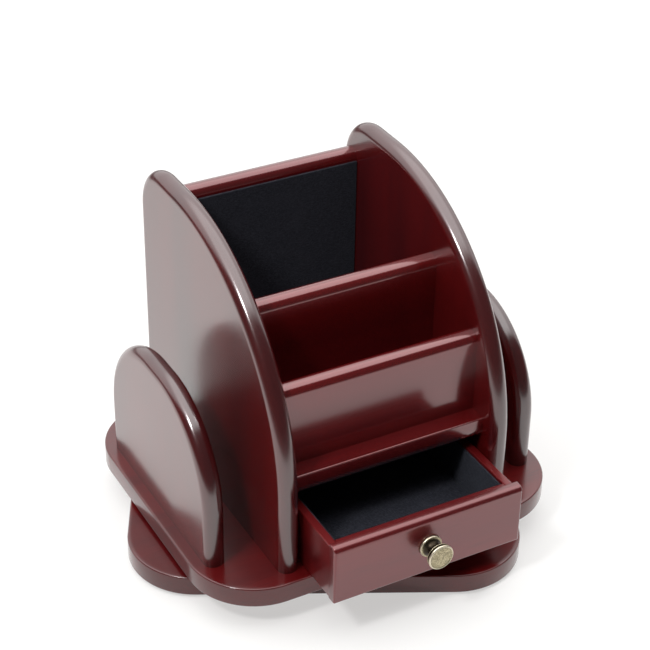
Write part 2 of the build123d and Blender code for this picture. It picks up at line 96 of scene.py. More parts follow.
def rounded_rings(
    low: np.ndarray, high: np.ndarray, radii: np.ndarray, insets: np.ndarray, steps: tuple[int, ...]
) -> np.ndarray:
    """Closed outlines of a rectangle with a radius of its own at each corner.

    Each side is moved inwards by its inset. A corner point is the centre of its arc plus the radius times
    the cosine and sine of an angle that runs over a quarter turn; the radius shrinks by the inset.

    Args:
        low: smallest u and v of the outline.
        high: largest u and v.
        radii: corner radii, counter-clockwise from (low u, low v).
        insets: one row for each ring, how far the sides low u, low v, high u and high v move inwards.
        steps: points less one on each corner arc.

    Returns:
        Array of rings by points by 2.
    """
    u0, v0, u1, v1 = (insets[:, side] for side in range(4))
    sides = ((low[0] + u0, low[1] + v0), (high[0] - u1, low[1] + v0), (high[0] - u1, high[1] - v1))
    sides += ((low[0] + u0, high[1] - v1),)
    arcs = []
    for corner, (u, v) in enumerate(sides):
        shrink = np.minimum((u0, u1, u1, u0)[corner], (v0, v0, v1, v1)[corner])
        radius = np.maximum(radii[corner] - shrink, 1e-4)
        angle = radians(180 + 90 * corner) + np.linspace(0, radians(90), steps[corner] + 1)
        way_u, way_v = ((1, 1), (-1, 1), (-1, -1), (1, -1))[corner]
        centre = np.stack([u + way_u * radius, v + way_v * radius], axis=-1)
        turn = np.stack([np.cos(angle), np.sin(angle)], axis=-1)
        arcs.append(centre[:, None, :] + radius[:, None, None] * turn[None])
    return np.concatenate(arcs, axis=1)


def cap(ring: np.ndarray) -> np.ndarray:
    """Closes a ring: rows that shrink towards its middle in proportion, the last one a single point.

    Args:
        ring: points by 3.

    Returns:
        Grid of rows by points by 3.
    """
    share = np.array([0.0, 0.015, 0.25, 0.6, 1.0])[:, None, None]
    return ring[None] * (1 - share) + ring.mean(axis=0) * share


def solid(
    name: str, rings: np.ndarray, edge_shade_and_wear: np.ndarray | None = None, sharp: float = 33.0
) -> bpy.types.Object:
    """A closed solid from rings in a row, capped at both ends.

    Args:
        name: name of the piece.
        rings: rows by points by 3, in millimetres; each ring closes on itself.
        edge_shade_and_wear: one value for each row, 1 where a board's rounded edge takes its full painted
            shade or the brass is rubbed bright.
        sharp: degrees past which an edge is drawn sharp.

    Returns:
        The piece, at the origin with its place in its mesh.
    """
    rows, columns = rings.shape[:2]
    edge_shade_and_wear = np.zeros(rows) if edge_shade_and_wear is None else edge_shade_and_wear
    grids = [rings, cap(rings[0]), cap(rings[-1])]
    points = np.concatenate([grid.reshape(-1, 3) for grid in grids]) * MM
    tone = np.concatenate(
        [np.repeat(edge_shade_and_wear, columns), np.full(grids[1].shape[0] * columns, edge_shade_and_wear[0])]
        + [np.full(grids[2].shape[0] * columns, edge_shade_and_wear[-1])]
    )
    faces = []
    start = 0
    for grid in grids:
        index = start + np.arange(grid.shape[0] * columns).reshape(-1, columns)
        beside = np.roll(index, -1, axis=1)
        quads = np.stack([index[:-1], beside[:-1], beside[1:], index[1:]], axis=-1)
        faces.append(quads.reshape(-1, 4))
        start += index.size
    return piece_from(name, points, np.concatenate(faces), tone, sharp)


def piece_from(
    name: str, points: np.ndarray, faces: np.ndarray, tone: np.ndarray, sharp: float
) -> bpy.types.Object:
    """Makes one mesh piece, with doubled points merged and its faces turned outwards.

    Args:
        name: name of the piece.
        points: points by 3, in metres.
        faces: quads as rows of four point numbers.
        tone: at each point, how much painted edge shade a board takes, or how rubbed the brass is.
        sharp: degrees past which an edge is drawn sharp.

    Returns:
        The piece, linked to the scene.
    """
    mesh = bpy.data.meshes.new(name)
    mesh.from_pydata(points.tolist(), [], faces.tolist())
    mesh.attributes.new("edge_shade_and_wear", "FLOAT", "POINT").data.foreach_set("value", tone.astype(np.float32))
    work = bmesh.new()
    work.from_mesh(mesh)
    bmesh.ops.remove_doubles(work, verts=work.verts, dist=2e-7)
    bmesh.ops.dissolve_degenerate(work, edges=work.edges, dist=1e-7)
    bmesh.ops.recalc_face_normals(work, faces=work.faces)
    work.to_mesh(mesh)
    work.free()
    mesh.polygons.foreach_set("use_smooth", np.ones(len(mesh.polygons), dtype=bool))
    mesh.set_sharp_from_angle(angle=radians(sharp))
    piece = bpy.data.objects.new(name, mesh)
    bpy.context.scene.collection.objects.link(piece)
    return piece


def quarter_round(radius: float, steps: int) -> tuple[np.ndarray, np.ndarray]:
    """A quarter round from a flat face out to the edge.

    The inset is the radius times one less the sine, and the depth the radius times one less the cosine,
    of an angle from 0 to 90 degrees.

    Args:
        radius: radius of the edge.
        steps: points less one.

    Returns:
        Insets and depths.
    """
    angle = np.linspace(0, radians(90), steps + 1)
    return radius * (1 - np.sin(angle)), radius * (1 - np.cos(angle))


def rounded_through(low: float, high: float, radius: float, steps: int) -> tuple[np.ndarray, np.ndarray]:
    """A thickness with a quarter round at both of its faces.

    Args:
        low: place of the lower face.
        high: place of the upper face.
        radius: radius of both edges.
        steps: points less one of each round.

    Returns:
        Insets and places of the rows.
    """
    inset, depth = quarter_round(radius, steps)
    return np.concatenate([inset, inset[::-1]]), np.concatenate([low + depth, high - depth[::-1]])


def turned(rings: np.ndarray, degrees: float) -> np.ndarray:
    """Flat rings turned about the origin, from u towards v.

    Args:
        rings: rows by points by 2.
        degrees: the angle.

    Returns:
        Rows by points by 2.
    """
    c, s = cos(radians(degrees)), sin(radians(degrees))
    return rings @ np.array([[c, s], [-s, c]])


def lay(rings: np.ndarray, along: np.ndarray, axis: Axis) -> np.ndarray:
    """Sets flat rings out along an axis.

    Args:
        rings: rows by points by 2.
        along: place of each row on the axis.
        axis: the axis.

    Returns:
        Rows by points by 3.
    """
    placed = np.empty((*rings.shape[:2], 3))
    u, v, w = axis.value
    placed[..., u], placed[..., v] = rings[..., 0], rings[..., 1]
    placed[..., w] = along[:, None]
    return placed


# Finishes


class Recipe:
    """The node tree of a material or a world, with short calls that add a node and join its sockets."""

    def __init__(self, name: str, made: bpy.types.Material | bpy.types.World | None = None) -> None:
        """Starts an empty tree.

        Args:
            name: name of a new material.
            made: a material or a world to fill instead.
        """
        self.made = made or bpy.data.materials.new(name)
        self.made.use_nodes = True
        self.tree = self.made.node_tree
        self.tree.nodes.clear()

    def add(self, kind: str, sockets: dict | None = None, **settings: object) -> bpy.types.Node:
        """Adds a node.

        Args:
            kind: the node's type name, without its ShaderNode prefix.
            sockets: value or socket for each input, by name or number.
            settings: properties of the node.

        Returns:
            The node.
        """
        node = self.tree.nodes.new(f"ShaderNode{kind}")
        for key, value in settings.items():
            setattr(node, key, value)
        for key, value in (sockets or {}).items():
            if isinstance(value, bpy.types.NodeSocket):
                self.tree.links.new(value, node.inputs[key])
            else:
                node.inputs[key].default_value = value
        return node

    def place(self, scale: tuple[float, float, float] = (1.0, 1.0, 1.0)) -> bpy.types.NodeSocket:
        """Object coordinates, times a scale on each axis."""
        coordinates = self.add("TexCoord").outputs["Object"]
        return self.add("Mapping", {"Vector": coordinates, "Scale": scale}).outputs["Vector"]

    def noise(self, place: bpy.types.NodeSocket, cells: float, detail: float) -> bpy.types.NodeSocket:
        """Soft noise from 0 to 1, with cells to a metre and finer layers by its detail."""
        return self.add("TexNoise", {"Vector": place, "Scale": cells, "Detail": detail}).outputs["Fac"]

    def ramp(self, value: bpy.types.NodeSocket, band: Band) -> bpy.types.NodeSocket:
        """0 on the near side of the band, 1 past its end and a smooth step between."""
        sockets = {"Value": value, "From Min": band[0], "From Max": band[1]}
        return self.add("MapRange", sockets, interpolation_type="SMOOTHSTEP").outputs["Result"]

    def between(
        self, value: bpy.types.NodeSocket, first: float, last: float, full: float = 1.0
    ) -> bpy.types.NodeSocket:
        """Runs evenly from one number to another.

        Args:
            value: what it follows.
            first: the number where the value is 0 or less.
            last: the number where the value is full or more.
            full: the value at which the last number is reached.

        Returns:
            The number.
        """
        sockets = {"Value": value, "From Min": 0.0, "From Max": full, "To Min": first, "To Max": last}
        return self.add("MapRange", sockets).outputs["Result"]

    def scaled(
        self, value: bpy.types.NodeSocket, share: bpy.types.NodeSocket | float
    ) -> bpy.types.NodeSocket:
        """A value times another."""
        return self.add("Math", {0: value, 1: share}, operation="MULTIPLY").outputs["Value"]

    def total(
        self, value: bpy.types.NodeSocket, more: bpy.types.NodeSocket | float
    ) -> bpy.types.NodeSocket:
        """A value plus another."""
        return self.add("Math", {0: value, 1: more}, operation="ADD").outputs["Value"]

    def larger(self, value: bpy.types.NodeSocket, other: bpy.types.NodeSocket) -> bpy.types.NodeSocket:
        """The larger of two values."""
        return self.add("Math", {0: value, 1: other}, operation="MAXIMUM").outputs["Value"]

    def mix(
        self, share: bpy.types.NodeSocket | float, first: object, second: object
    ) -> bpy.types.NodeSocket:
        """Blends two colours, each a colour or a socket.

        Args:
            share: how much of the second.
            first: colour at share 0.
            second: colour at share 1.

        Returns:
            The blended colour.
        """
        node = self.add("Mix", {0: share}, data_type="RGBA")
        for number, colour in ((6, first), (7, second)):
            if isinstance(colour, bpy.types.NodeSocket):
                self.tree.links.new(colour, node.inputs[number])
            else:
                node.inputs[number].default_value = (*colour, 1.0)
        return node.outputs[2]

    def bump(
        self, height: bpy.types.NodeSocket, depth: float, below: bpy.types.NodeSocket | None = None
    ) -> bpy.types.NodeSocket:
        """Roughens a surface.

        Args:
            height: the unevenness, from 0 to 1.
            depth: how high it stands, in millimetres.
            below: a normal that it is added to, or none.

        Returns:
            The normal.
        """
        sockets = {"Height": height, "Strength": 1.0, "Distance": depth * MM}
        if below is not None:
            sockets["Normal"] = below
        return self.add("Bump", sockets).outputs["Normal"]

    def finish(self, sockets: dict) -> bpy.types.Material:
        """Closes the recipe with its surface shader.

        Args:
            sockets: inputs of the shader, by name.

        Returns:
            The material.
        """
        shader = self.add("BsdfPrincipled", sockets)
        self.add("OutputMaterial", {"Surface": shader.outputs["BSDF"]})
        return self.made


@dataclass(frozen=True)
class Stain:
    """A board's stain: figure from deep to warm, pores, painted edge shade, sheen and coat."""

    deep: Colour
    warm: Colour
    pore: Colour
    # painted shade laid over the rounded edges, which look dark in the dim room
    edge: Colour
    sheen: Colour
    sheen_level: float
    sheen_roughness: float
    coat_index: float
    coat_roughness: float


PORE = (0.034, 0.0022, 0.0032)
# deep, warm, pore and painted edge shade colours of the redder boards
RED_WOOD = ((0.058, 0.0030, 0.0040), (0.094, 0.0040, 0.0044), PORE, (0.046, 0.0028, 0.0038))


class Tone(Enum):
    """The boards: dark panels and wings, duller plinth, glossy cross boards, satin drawer front and box."""

    DARK = Stain(
        deep=(0.058, 0.0028, 0.0036),
        warm=(0.092, 0.0036, 0.0040),
        pore=PORE,
        edge=(0.030, 0.0022, 0.0030),
        sheen=(1.0, 0.30, 0.32),
        sheen_level=0.08,
        sheen_roughness=0.35,
        coat_index=1.99,
        coat_roughness=0.19,
    )
    PLINTH = Stain(
        deep=(0.060, 0.0028, 0.0036),
        warm=(0.096, 0.0036, 0.0040),
        pore=PORE,
        edge=(0.040, 0.0024, 0.0032),
        sheen=(1.0, 0.26, 0.28),
        sheen_level=0.10,
        sheen_roughness=0.35,
        coat_index=1.63,
        coat_roughness=0.19,
    )
    RED = Stain(
        *RED_WOOD,
        sheen=(1.0, 0.22, 0.24),
        sheen_level=0.85,
        sheen_roughness=0.24,
        coat_index=1.70,
        coat_roughness=0.12,
    )
    DRAWER = Stain(
        *RED_WOOD,
        sheen=(1.0, 0.22, 0.24),
        sheen_level=1.00,
        sheen_roughness=0.34,
        coat_index=1.58,
        coat_roughness=0.21,
    )
    BOX = Stain(
        *RED_WOOD,
        sheen=(1.0, 0.20, 0.22),
        sheen_level=0.85,
        sheen_roughness=0.34,
        coat_index=1.34,
        coat_roughness=0.20,
    )


@dataclass(frozen=True)
class Lacquer:
    """Deep red lacquer over fine-grained wood: a faint figure, painted shade on the edges, a little dust, a
    top coat.
    """

    tone: Tone
    grain: Grain
    # cells are counted to a metre, depths are millimetres, shares are of the colour that is laid over
    figure_cells: float = 42.0
    figure_band: Band = (0.34, 0.66)
    pore_cells: float = 950.0
    pore_band: Band = (0.60, 0.74)
    pore_share: float = 0.45
    # share of the shaded edge colour painted over the rounded edges as shade
    edge_shade_share: float = 0.75
    speck_cells: float = 210.0
    speck_few: Band = (0.955, 0.965)
    speck_rim: Band = (0.11, 0.05)
    speck_share: float = 0.35
    dust: Colour = (0.55, 0.46, 0.45)
    cloud_cells: float = 16.0
    cloud_swing: float = 0.10
    peel_cells: float = 420.0
    peel_depth: float = 0.0035
    ripple_cells: float = 55.0
    ripple_depth: float = 0.012

    def material(self) -> bpy.types.Material:
        """The lacquer with its figure running along the grain, and darkened by painted shade where
        edge_shade_and_wear is near 1.
        """
        stain = self.tone.value
        recipe = Recipe(f"lacquer_{self.tone.name.lower()}_{self.grain.name.lower()}")
        place = recipe.place(self.grain.value)
        figure = recipe.ramp(recipe.noise(place, self.figure_cells, 5), self.figure_band)
        pores = recipe.ramp(recipe.noise(place, self.pore_cells, 2), self.pore_band)
        even = recipe.place()
        cloud = recipe.noise(even, self.cloud_cells, 2)
        shade_and_wear = recipe.add("Attribute", attribute_name="edge_shade_and_wear").outputs["Fac"]
        colour = recipe.mix(figure, stain.deep, stain.warm)
        colour = recipe.mix(recipe.scaled(pores, self.pore_share), colour, stain.pore)
        # painted shade: the rounded edges are darkened towards the shaded edge colour
        colour = recipe.mix(recipe.scaled(shade_and_wear, self.edge_shade_share), colour, stain.edge)
        cells = {"Vector": even, "Scale": self.speck_cells, "Randomness": 1.0}
        specks = recipe.add("TexVoronoi", cells, feature="F1").outputs
        few = recipe.ramp(specks["Color"], self.speck_few)
        near = recipe.ramp(specks["Distance"], self.speck_rim)
        specked = recipe.scaled(recipe.scaled(few, near), self.speck_share)
        colour = recipe.mix(specked, colour, self.dust)
        lowest = stain.sheen_roughness - self.cloud_swing / 2
        roughness = recipe.total(recipe.scaled(cloud, self.cloud_swing), lowest)
        peel = recipe.bump(recipe.noise(even, self.peel_cells, 1), self.peel_depth)
        ripple = recipe.bump(recipe.noise(even, self.ripple_cells, 1), self.ripple_depth, peel)
        return recipe.finish(
            {
                "Base Color": colour,
                "Roughness": roughness,
                "Normal": ripple,
                "Specular IOR Level": stain.sheen_level,
                "Specular Tint": (*stain.sheen, 1.0),
                "Coat Weight": 1.0,
                "Coat Roughness": stain.coat_roughness,
                "Coat IOR": stain.coat_index,
                "Coat Normal": ripple,
            }
        )


@dataclass(frozen=True)
class Felt:
    """Black felt: short crossed fibres with a blue cast and a little lint."""

    dark: Colour = (0.0085, 0.0088, 0.0130)
    light: Colour = (0.0240, 0.0245, 0.0330)
    lint: Colour = (0.110, 0.115, 0.135)
    fibre_cells: float = 1900.0
    fibre_scale: float = 0.25
    fibre_band: Band = (0.42, 0.72)
    fibre_depth: float = 0.22
    nap_cells: float = 90.0
    nap_band: Band = (0.45, 0.75)
    nap_share: float = 0.35
    lint_band: Band = (0.76, 0.86)
    lint_share: float = 0.6

    def material(self) -> bpy.types.Material:
        """The felt: fibres along X and along Y, whichever lies on top."""
        recipe = Recipe("felt_black")
        even = recipe.place()
        fibres = recipe.noise(recipe.place((1.0, self.fibre_scale, 1.0)), self.fibre_cells, 4)
        crossed = recipe.noise(recipe.place((self.fibre_scale, 1.0, 1.0)), self.fibre_cells, 4)
        tangle = recipe.larger(fibres, crossed)
        nap = recipe.ramp(recipe.noise(even, self.nap_cells, 3), self.nap_band)
        lint = recipe.ramp(tangle, self.lint_band)
        colour = recipe.mix(recipe.ramp(tangle, self.fibre_band), self.dark, self.light)
        colour = recipe.mix(recipe.scaled(nap, self.nap_share), colour, self.light)
        colour = recipe.mix(recipe.scaled(lint, self.lint_share), colour, self.lint)
        rough = recipe.bump(tangle, self.fibre_depth)
        return recipe.finish(
            {
                "Base Color": colour,
                "Roughness": 0.95,
                "Specular IOR Level": 0.12,
                "Sheen Weight": 0.10,
                "Sheen Roughness": 0.6,
                "Sheen Tint": (0.75, 0.82, 1.0, 1.0),
                "Normal": rough,
            }
        )


@dataclass(frozen=True)
class Brass:
    """Antique brass: a pale olive face, finely mottled, brown in the recesses and bright on the rims."""

    rim: Colour = (0.68, 0.61, 0.47)
    bright: Colour = (0.54, 0.47, 0.32)
    olive: Colour = (0.28, 0.245, 0.145)
    brown: Colour = (0.040, 0.031, 0.022)
    mottle_cells: float = 2300.0
    mottle_band: Band = (0.34, 0.66)
    mottle_depth: float = 0.02
    patina_cells: float = 800.0
    patina_band: Band = (0.42, 0.70)
    patina_share: float = 0.35
    recess_band: Band = (0.02, 0.45)
    rim_band: Band = (0.75, 1.0)
    rough: float = 0.46
    rubbed: float = 0.30

    def material(self) -> bpy.types.Material:
        """The brass, with wear from 0 in a recess to 1 on a rim."""
        recipe = Recipe("brass_antique")
        even = recipe.place()
        mottle = recipe.ramp(recipe.noise(even, self.mottle_cells, 4), self.mottle_band)
        patina = recipe.ramp(recipe.noise(even, self.patina_cells, 3), self.patina_band)
        shade_and_wear = recipe.add("Attribute", attribute_name="edge_shade_and_wear").outputs["Fac"]
        aged = recipe.mix(mottle, self.olive, self.bright)
        aged = recipe.mix(recipe.scaled(patina, self.patina_share), aged, self.brown)
        colour = recipe.mix(recipe.ramp(shade_and_wear, self.recess_band), self.brown, aged)
        colour = recipe.mix(recipe.ramp(shade_and_wear, self.rim_band), colour, self.rim)
        return recipe.finish(
            {
                "Base Color": colour,
                "Metallic": 1.0,
                "Roughness": recipe.between(mottle, self.rough, self.rubbed),
                "Normal": recipe.bump(mottle, self.mottle_depth),
            }
        )


@dataclass(frozen=True)
class Steel:
    """Zinc-plated steel with fine spangle."""

    bright: Colour = (0.62, 0.63, 0.62)
    dull: Colour = (0.42, 0.43, 0.44)
    spangle_cells: float = 600.0
    spangle_band: Band = (0.35, 0.65)
    spangle_depth: float = 0.01
    rough: float = 0.40
    smooth: float = 0.26

    def material(self) -> bpy.types.Material:
        """The plating, smoother where its spangle is bright."""
        recipe = Recipe("steel_plated")
        spangle = recipe.ramp(recipe.noise(recipe.place(), self.spangle_cells, 4), self.spangle_band)
        return recipe.finish(
            {
                "Base Color": recipe.mix(spangle, self.dull, self.bright),
                "Metallic": 1.0,
                "Roughness": recipe.between(spangle, self.rough, self.smooth),
                "Normal": recipe.bump(spangle, self.spangle_depth),
            }
        )


@dataclass(frozen=True)
class Beech:
    """Bare beech with short dark rays along X."""

    light: Colour = (0.56, 0.37, 0.22)
    dark: Colour = (0.36, 0.21, 0.11)
    ray_scale: float = 0.08
    ray_cells: float = 900.0
    ray_band: Band = (0.40, 0.70)
    ray_depth: float = 0.05

    def material(self) -> bpy.types.Material:
        """The beech, with its rays raised a little."""
        recipe = Recipe("beech_bare")
        place = recipe.place((self.ray_scale, 1.0, 1.0))
        rays = recipe.ramp(recipe.noise(place, self.ray_cells, 3), self.ray_band)
        return recipe.finish(
            {
                "Base Color": recipe.mix(rays, self.light, self.dark),
                "Roughness": 0.62,
                "Normal": recipe.bump(rays, self.ray_depth),
            }
        )


@dataclass
class Finishes:
    """Every finish, made once."""

    lacquer: dict[tuple[Tone, Grain], bpy.types.Material] = field(init=False)
    felt: bpy.types.Material = field(init=False)
    brass: bpy.types.Material = field(init=False)
    steel: bpy.types.Material = field(init=False)
    beech: bpy.types.Material = field(init=False)

    def __post_init__(self) -> None:
        """Makes the materials, with a lacquer for each pair of tone and grain in use."""
        coats = (
            (Tone.DARK, Grain.UPRIGHT),
            (Tone.PLINTH, Grain.ACROSS),
            (Tone.RED, Grain.ACROSS),
            (Tone.DRAWER, Grain.ACROSS),
            (Tone.BOX, Grain.ACROSS),
            (Tone.BOX, Grain.ALONG),
        )
        self.lacquer = {coat: Lacquer(*coat).material() for coat in coats}
        self.felt = Felt().material()
        self.brass = Brass().material()
        self.steel = Steel().material()
        self.beech = Beech().material()

    def dress_inner(self, body: str, nodes: tuple[str, ...], finish: bpy.types.Material) -> None:
        """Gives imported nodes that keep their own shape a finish.

        Args:
            body: body that they ride on, for the report.
            nodes: names of the nodes.
            finish: the material.
        """
        for node in nodes:
            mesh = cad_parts[node].data
            mesh.materials.clear()
            mesh.materials.append(finish)
            log.info("%s: %s keeps its packed shape, %s", body, node, finish.name)


def settle(
    piece: bpy.types.Object, body: str, node: str, finish: bpy.types.Material
) -> bpy.types.Object:
    """Puts a piece in its node's place.

    Args:
        piece: the new piece.
        body: body that it rides on.
        node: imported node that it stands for.
        finish: its material.

    Returns:
        The piece.
    """
    piece.data.materials.append(finish)
    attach(piece, body)
    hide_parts(node)
    points = len(piece.data.vertices)
    log.info("%s: %s stands for %s, %d points, %s", body, piece.name, node, points, finish.name)
    return piece


# Sub-assemblies


@dataclass
class Plinth:
    """A board of the plinth: a rectangle with large round corners and a softened edge above and below."""

    node: str
    body: str
    turn: float = 0.0
    length: float = 179.0
    depth: float = 152.0
    corner: float = 32.0
    corner_steps: int = 24
    arris: float = 0.8
    arris_steps: int = 6
    # how much painted shade darkens the softened edges
    edge_shade_level: float = 0.35

    def build(self, finishes: Finishes) -> bpy.types.Object:
        """Makes the board.

        The outline is carried up Z; it runs in by a quarter round at the foot and again at the top.

        Args:
            finishes: the finishes.

        Returns:
            The piece.
        """
        low, high = extent(self.node)
        insets, heights = rounded_through(low[2], high[2], self.arris, self.arris_steps)
        half = np.array([self.length, self.depth]) / 2
        corners = np.full(4, self.corner)
        sides = np.repeat(insets[:, None], 4, axis=1)
        rings = rounded_rings(-half, half, corners, sides, (self.corner_steps,) * 4)
        edge_shade_and_wear = np.clip(1 - insets / self.arris, 0, 1) * self.edge_shade_level
        piece = solid(f"{self.node}_lacquered", lay(turned(rings, self.turn), heights, Axis.Z), edge_shade_and_wear)
        finish = finishes.lacquer[Tone.PLINTH, Grain.ACROSS]
        return settle(piece, self.body, self.node, finish)


@dataclass
class ArchedBoard:
    """A side panel or wing: upright edges, a front arc, a flat top and a rear arc, all rounded over."""

    node: str
    front_radius: float
    rear_radius: float
    edge_radius: float = 4.7
    edge_steps: int = 14
    front_steps: int = 72
    rear_steps: int = 36

    def build(self, finishes: Finishes) -> bpy.types.Object:
        """Makes the board.

        The side view is carried across X. Its sides but the foot run in by a quarter round at each face.

        Args:
            finishes: the finishes.

        Returns:
            The piece.
        """
        low, high = extent(self.node)
        insets, across = rounded_through(low[0], high[0], self.edge_radius, self.edge_steps)
        sides = insets[:, None] * np.array([1, 0, 1, 1])
        radii = np.array([0, 0, self.rear_radius, self.front_radius])
        steps = (1, 1, self.rear_steps, self.front_steps)
        rings = rounded_rings(low[1:], high[1:], radii, sides, steps)
        # painted shade, full on the round-overs and none on the flat faces
        edge_shade_and_wear = np.clip(1 - insets / self.edge_radius, 0, 1)
        piece = solid(f"{self.node}_lacquered", lay(rings, across, Axis.X), edge_shade_and_wear)
        finish = finishes.lacquer[Tone.DARK, Grain.UPRIGHT]
        return settle(piece, "carousel", self.node, finish)


@dataclass
class CrossBoard:
    """A board between the side panels, with the same section all along."""

    node: str
    radii: tuple[float, float, float, float]
    steps: tuple[int, int, int, int]
    rows: int = 13
    # share of the shaded edge colour painted evenly over the whole board
    edge_shade_and_wear: float = 0.12

    def build(self, finishes: Finishes) -> bpy.types.Object:
        """Makes the board.

        The section, a rectangle with a radius at each corner, is carried across X.

        Args:
            finishes: the finishes.

        Returns:
            The piece.
        """
        low, high = extent(self.node)
        across = np.linspace(low[0], high[0], self.rows)
        sides = np.zeros((self.rows, 4))
        rings = rounded_rings(low[1:], high[1:], np.array(self.radii), sides, self.steps)
        edge_shade_and_wear = np.full(self.rows, self.edge_shade_and_wear)
        piece = solid(f"{self.node}_lacquered", lay(rings, across, Axis.X), edge_shade_and_wear)
        finish = finishes.lacquer[Tone.RED, Grain.ACROSS]
        return settle(piece, "carousel", self.node, finish)


@dataclass
class FeltSheet:
    """A glued sheet of felt with a soft edge."""

    node: str
    body: str
    axis: Axis
    held: str
    rests_on: str
    corner: float = 0.4
    turn: float = 0.0
    size: tuple[float, float] | None = None
    corner_steps: int = 6
    soft: float = 0.35
    soft_steps: int = 4

    def build(self, finishes: Finishes) -> bpy.types.Object:
        """Makes the sheet.

        The outline is carried through the thickness and runs in by a quarter round on both faces.

        Args:
            finishes: the finishes.

        Returns:
            The piece.
        """
        low, high = extent(self.node)
        u, v, w = self.axis.value
        insets, along = rounded_through(low[w], high[w], self.soft, self.soft_steps)
        flat_low, flat_high = low[[u, v]], high[[u, v]]
        if self.size is not None:
            flat_high = np.array(self.size) / 2
            flat_low = -flat_high
        corners = np.full(4, self.corner)
        sides = np.repeat(insets[:, None], 4, axis=1)
        rings = rounded_rings(flat_low, flat_high, corners, sides, (self.corner_steps,) * 4)
        piece = solid(f"{self.node}_cloth", lay(turned(rings, self.turn), along, self.axis))
        settle(piece, self.body, self.node, finishes.felt)
        return piece


@dataclass
class Drawer:
    """The drawer: a front with a rounded upper edge, a box of four thin walls, felt inside, and a knob."""

    front_nose: float = 3.0
    nose_steps: int = 14
    # painted shade on the rounded nose
    nose_shade: float = 0.7
    front_arris: float = 1.2
    front_corner: float = 0.7
    corner_steps: int = 6
    rear_arris: float = 0.5
    rear_steps: int = 4
    # painted shade on the rear arris
    rear_shade: float = 0.3
    wall_rows: int = 9
    wall_foot: float = 0.2
    wall_top: float = 0.6
    # share of the shaded edge colour painted evenly over the walls
    wall_shade: float = 0.10

    def front(self, finishes: Finishes) -> None:
        """Makes the drawer front.

        The outline is carried back along Y. Each side runs in by its own quarter round at the face, the
        top by the nose, and by a small arris at the rear. The inset of a round at a depth is the radius
        less the root of the radius squared less the rest of the depth squared.

        Args:
            finishes: the finishes.
        """
        low, high = extent("drawer_front")
        face = quarter_round(self.front_nose, self.nose_steps)[1]
        rear_inset, rear_depth = quarter_round(self.rear_arris, self.rear_steps)
        rounds = np.array([self.front_arris, self.front_arris, self.front_arris, self.front_nose])
        left = np.maximum(rounds[None] - face[:, None], 0)
        run_in = rounds[None] - np.sqrt(rounds[None] ** 2 - left**2)
        insets = np.concatenate([run_in, np.repeat(rear_inset[::-1, None], 4, axis=1)])
        along = np.concatenate([low[1] + face, high[1] - rear_depth[::-1]])
        corners = np.full(4, self.front_corner)
        rings = rounded_rings(low[[0, 2]], high[[0, 2]], corners, insets, (self.corner_steps,) * 4)
        # painted shade, full at the nose's edge and even over the rear arris
        edge_shade_and_wear = np.clip(1 - insets[:, 3] / self.front_nose, 0, 1) * self.nose_shade
        edge_shade_and_wear[-len(rear_inset):] = self.rear_shade
        piece = solid("drawer_front_lacquered", lay(rings, along, Axis.Y), edge_shade_and_wear)
        finish = finishes.lacquer[Tone.DRAWER, Grain.ACROSS]
        settle(piece, "drawer", "drawer_front", finish)

    def walls(self, finishes: Finishes) -> None:
        """Makes the sides, carried along Y, and the inner front and back, carried along X, tops softened.

        Args:
            finishes: the finishes.
        """
        walls = (
            ("drawer_left_side", Axis.Y, Grain.ALONG),
            ("drawer_right_side", Axis.Y, Grain.ALONG),
            ("drawer_inner_front", Axis.X, Grain.ACROSS),
            ("drawer_back", Axis.X, Grain.ACROSS),
        )
        radii = np.array([self.wall_foot, self.wall_foot, self.wall_top, self.wall_top])
        sides = np.zeros((self.wall_rows, 4))
        edge_shade_and_wear = np.full(self.wall_rows, self.wall_shade)
        for node, axis, grain in walls:
            low, high = extent(node)
            u, v, w = axis.value
            along = np.linspace(low[w], high[w], self.wall_rows)
            rings = rounded_rings(low[[u, v]], high[[u, v]], radii, sides, (3, 3, 6, 6))
            piece = solid(f"{node}_lacquered", lay(rings, along, axis), edge_shade_and_wear)
            settle(piece, "drawer", node, finishes.lacquer[Tone.BOX, grain])

    def build(self, finishes: Finishes) -> None:
        """Makes the drawer's pieces.

        Args:
            finishes: the finishes.
        """
        self.front(finishes)
        self.walls(finishes)
        FeltSheet("drawer_floor_lining", "drawer", Axis.Z, "laid", "drawer_bottom").build(finishes)
        lined = (
            ("left", "left_side", Axis.X),
            ("right", "right_side", Axis.X),
            ("front", "inner_front", Axis.Y),
            ("back", "back", Axis.Y),
        )
        for place, wall, axis in lined:
            board = f"drawer_{wall}_lacquered"
            FeltSheet(f"drawer_{place}_lining", "drawer", axis, "stretched", board).build(finishes)
        Knob().build(finishes)
        finishes.dress_inner("drawer", ("drawer_bottom",), finishes.lacquer[Tone.BOX, Grain.ALONG])
        finishes.dress_inner("drawer", ("knob_screw",), finishes.steel)


